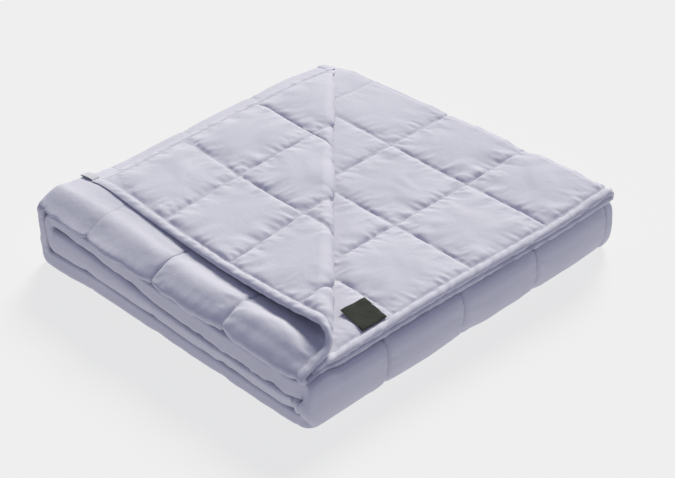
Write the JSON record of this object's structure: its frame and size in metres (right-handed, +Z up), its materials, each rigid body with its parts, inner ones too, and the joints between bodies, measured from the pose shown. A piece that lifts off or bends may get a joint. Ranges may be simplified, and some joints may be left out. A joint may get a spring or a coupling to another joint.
{
  "type": "folded weighted blanket",
  "caption": "Quilted weighted blanket with bound edges, folded in thirds and rolled flat into a square pack, one corner of its outer leaf turned back over a diagonal.",
  "frame": {"origin": "centre of the folded pack's bounding box, on the plane it rests on", "axes": "+Z up; +X towards the side where the roll's bound end shows; +Y from the side that shows the outer fold to the side at its back"},
  "size_m": [0.5046, 0.5143, 0.1205],
  "materials": {
    "shell_cloth": "matt brushed cotton-like cloth, light lavender grey",
    "binding_tape": "matt woven tape in the same lavender grey",
    "label_cloth": "matt woven label, near black, bare",
    "loop_tape": "light grey woven tape"
  },
  "bodies": {
    "root": {"quilted_shell": "shell_cloth", "binding": "binding_tape", "side_label": "label_cloth", "corner_loop": "loop_tape"}
  },
  "joints": []
}
